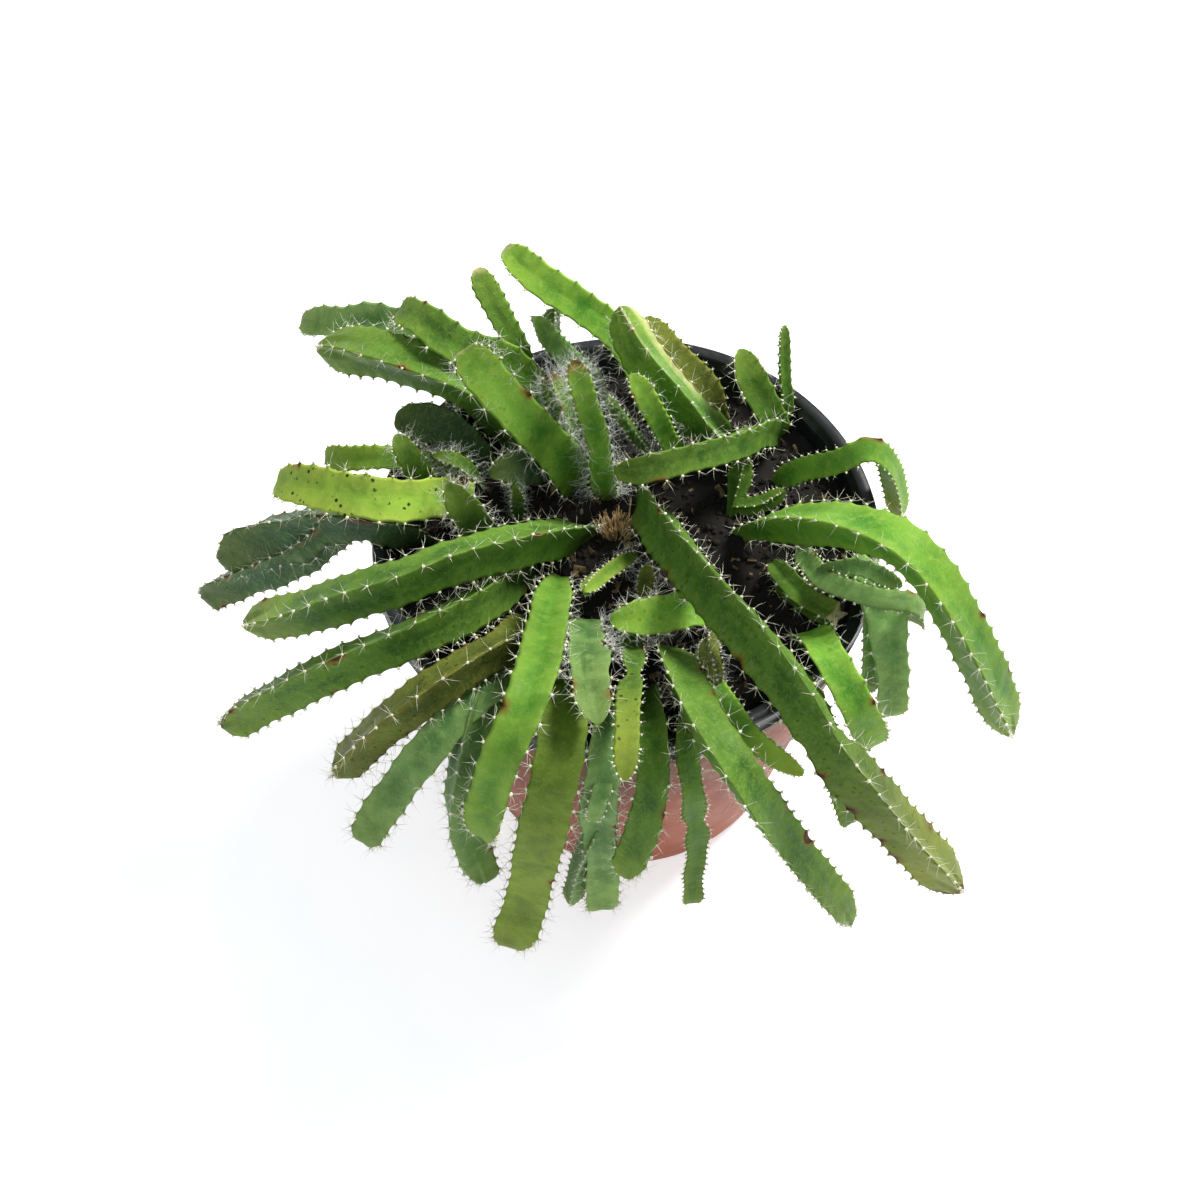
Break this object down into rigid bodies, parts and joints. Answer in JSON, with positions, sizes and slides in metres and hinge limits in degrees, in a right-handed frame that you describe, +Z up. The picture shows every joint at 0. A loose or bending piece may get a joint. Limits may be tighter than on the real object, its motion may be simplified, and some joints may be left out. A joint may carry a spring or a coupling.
{
  "type": "potted dragon fruit cactus",
  "caption": "Young dragon fruit cactus: three- and four-ribbed spiny stems arching out of the soil of a round pot, which they hide from above.",
  "frame": {"origin": "centre of the pot's flat underside, on the surface it stands on", "axes": "+Z up along the pot's axis, -Y towards the front, where the longest stems hang over the rim"},
  "size_m": [0.2645, 0.2057, 0.1805],
  "materials": {
    "terracotta_plastic": "satin, terracotta-coloured",
    "black_plastic": "satin, near black",
    "soil": "crumbly potting mix with bark",
    "dry_stem": "dry and frayed",
    "stem_green": "waxy plant skin",
    "stem_bright": "waxy plant skin",
    "stem_yellow": "waxy plant skin",
    "stem_grey": "waxy plant skin",
    "stem_olive": "waxy plant skin",
    "stem_dark": "waxy plant skin"
  },
  "bodies": {
    "root": {"cover_pot": "terracotta_plastic", "growing_pot": "black_plastic", "soil": "soil", "stem_stump": "dry_stem", "stem_back_1": "stem_grey", "stem_back_2": "stem_green", "stem_back_3": "stem_green", "stem_back_4": "stem_bright", "stem_back_5": "stem_bright", "stem_back_6": "stem_green", "stem_back_7": "stem_green", "stem_back_8": "stem_bright", "stem_back_9": "stem_dark", "stem_back_10": "stem_grey", "stem_back_11": "stem_green", "stem_back_12": "stem_olive", "stem_back_13": "stem_bright", "stem_back_14": "stem_green", "stem_back_15": "stem_green", "stem_right_1": "stem_bright", "stem_right_2": "stem_bright", "stem_right_3": "stem_olive", "stem_right_4": "stem_bright", "stem_right_5": "stem_olive", "stem_right_6": "stem_grey", "stem_right_7": "stem_green", "stem_right_8": "stem_grey", "stem_right_9": "stem_green", "stem_front_1": "stem_bright", "stem_front_2": "stem_yellow", "stem_front_3": "stem_olive", "stem_front_4": "stem_yellow", "stem_front_5": "stem_olive", "stem_front_6": "stem_grey", "stem_front_7": "stem_bright", "stem_front_8": "stem_green", "stem_front_9": "stem_grey", "stem_front_10": "stem_green", "stem_front_11": "stem_green", "stem_front_12": "stem_green", "stem_front_13": "stem_bright", "stem_front_14": "stem_olive", "stem_front_15": "stem_grey", "stem_left_1": "stem_dark", "stem_left_2": "stem_yellow", "stem_left_3": "stem_green", "stem_left_4": "stem_green", "stem_left_5": "stem_dark", "stem_left_6": "stem_dark", "stem_left_7": "stem_green", "stem_left_8": "stem_green", "stem_left_9": "stem_green", "stem_left_10": "stem_green", "stem_left_11": "stem_green"}
  },
  "joints": []
}
